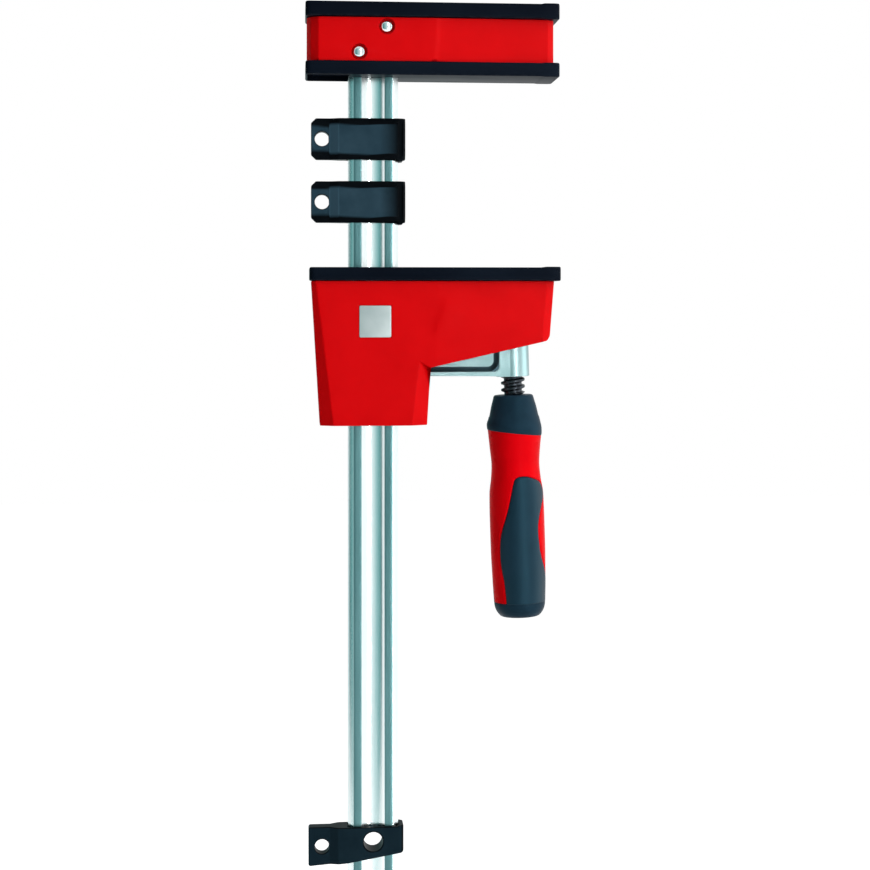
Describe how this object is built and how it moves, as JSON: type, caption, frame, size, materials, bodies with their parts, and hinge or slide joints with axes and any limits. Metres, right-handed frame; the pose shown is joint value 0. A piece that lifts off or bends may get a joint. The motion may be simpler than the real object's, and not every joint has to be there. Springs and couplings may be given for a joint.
{
  "type": "parallel clamp",
  "caption": "Parallel clamp: steel rail with a fixed jaw, a sliding jaw fed by a screw handle, two sliding rail pads and an end clip.",
  "frame": {"origin": "on the rail's axis, in the plane of the fixed jaw's clamping face", "axes": "+Z along the rail towards the fixed jaw's top, +X along the jaws from the rail to their tips, +Y from the front to the back"},
  "size_m": [0.1469, 0.039, 0.5124],
  "materials": {
    "rail_steel": "zinc-plated, satin, with fine serrations along the edges",
    "core_iron": "as cast",
    "red_plastic": "satin moulded plastic",
    "bright_steel": "bright",
    "pad_plastic": "dark slate moulded plastic",
    "clip_plastic": "black moulded plastic",
    "zinc_casting": "zinc-plated casting",
    "guide_plastic": "plain moulded plastic",
    "spring_steel": "tempered",
    "plate_metal": "plain satin",
    "seat_brass": "turned",
    "spindle_steel": "blackened",
    "handle_red": "satin moulded plastic",
    "handle_dark": "dark moulded plastic",
    "grip_rubber": "soft moulded grip"
  },
  "bodies": {
    "rail_and_head": {"rail": "rail_steel", "head_core": "core_iron", "head_shell_front": "red_plastic", "head_shell_back": "red_plastic", "head_rivets": "bright_steel", "head_clamping_pad": "pad_plastic", "head_spreading_pad": "pad_plastic", "rail_end_clip": "clip_plastic"},
    "rail_pad_upper": {"rail_pad_upper": "clip_plastic"},
    "rail_pad_lower": {"rail_pad_lower": "clip_plastic"},
    "slide_arm": {"slide_arm": "zinc_casting", "brake_shoe": "guide_plastic", "brake_spring": "spring_steel"},
    "sliding_jaw": {"jaw_core": "core_iron", "jaw_shell_front": "red_plastic", "jaw_shell_back": "red_plastic", "jaw_shell_pins": "bright_steel", "jaw_pad": "pad_plastic", "jaw_neck_guide": "guide_plastic", "jaw_plate": "plate_metal", "thrust_seat": "seat_brass"},
    "spindle_and_handle": {"spindle": "spindle_steel", "spindle_retaining_ring": "spring_steel", "handle_core": "handle_red", "handle_collar": "handle_dark", "handle_grip_front": "grip_rubber", "handle_grip_back": "grip_rubber", "handle_end_cap": "handle_dark"}
  },
  "joints": [
    {"name": "jaw_slide", "type": "slide", "parent": "rail_and_head", "child": "slide_arm", "axis": [0, 0, 1], "range_m": [-0.224, 0.009]},
    {"name": "jaw_feed", "type": "slide", "parent": "slide_arm", "child": "sliding_jaw", "axis": [0, 0, 1], "range_m": [-0.006, 0.009]},
    {"name": "spindle_turn", "type": "hinge", "parent": "sliding_jaw", "child": "spindle_and_handle", "pos_m": [0.0807, 0, -0.143], "axis": [-0.0314, 0, 0.9995], "range_deg": [-540, 810]},
    {"name": "rail_pad_upper_slide", "type": "slide", "parent": "rail_and_head", "child": "rail_pad_upper", "axis": [0, 0, 1], "range_m": [-0.005, 0.023]},
    {"name": "rail_pad_lower_slide", "type": "slide", "parent": "rail_and_head", "child": "rail_pad_lower", "axis": [0, 0, 1], "range_m": [-0.005, 0.005]}
  ],
  "couplings": [
    {"joint": "jaw_feed", "follows": "spindle_turn", "m_per_rad": 0.00063662}
  ]
}
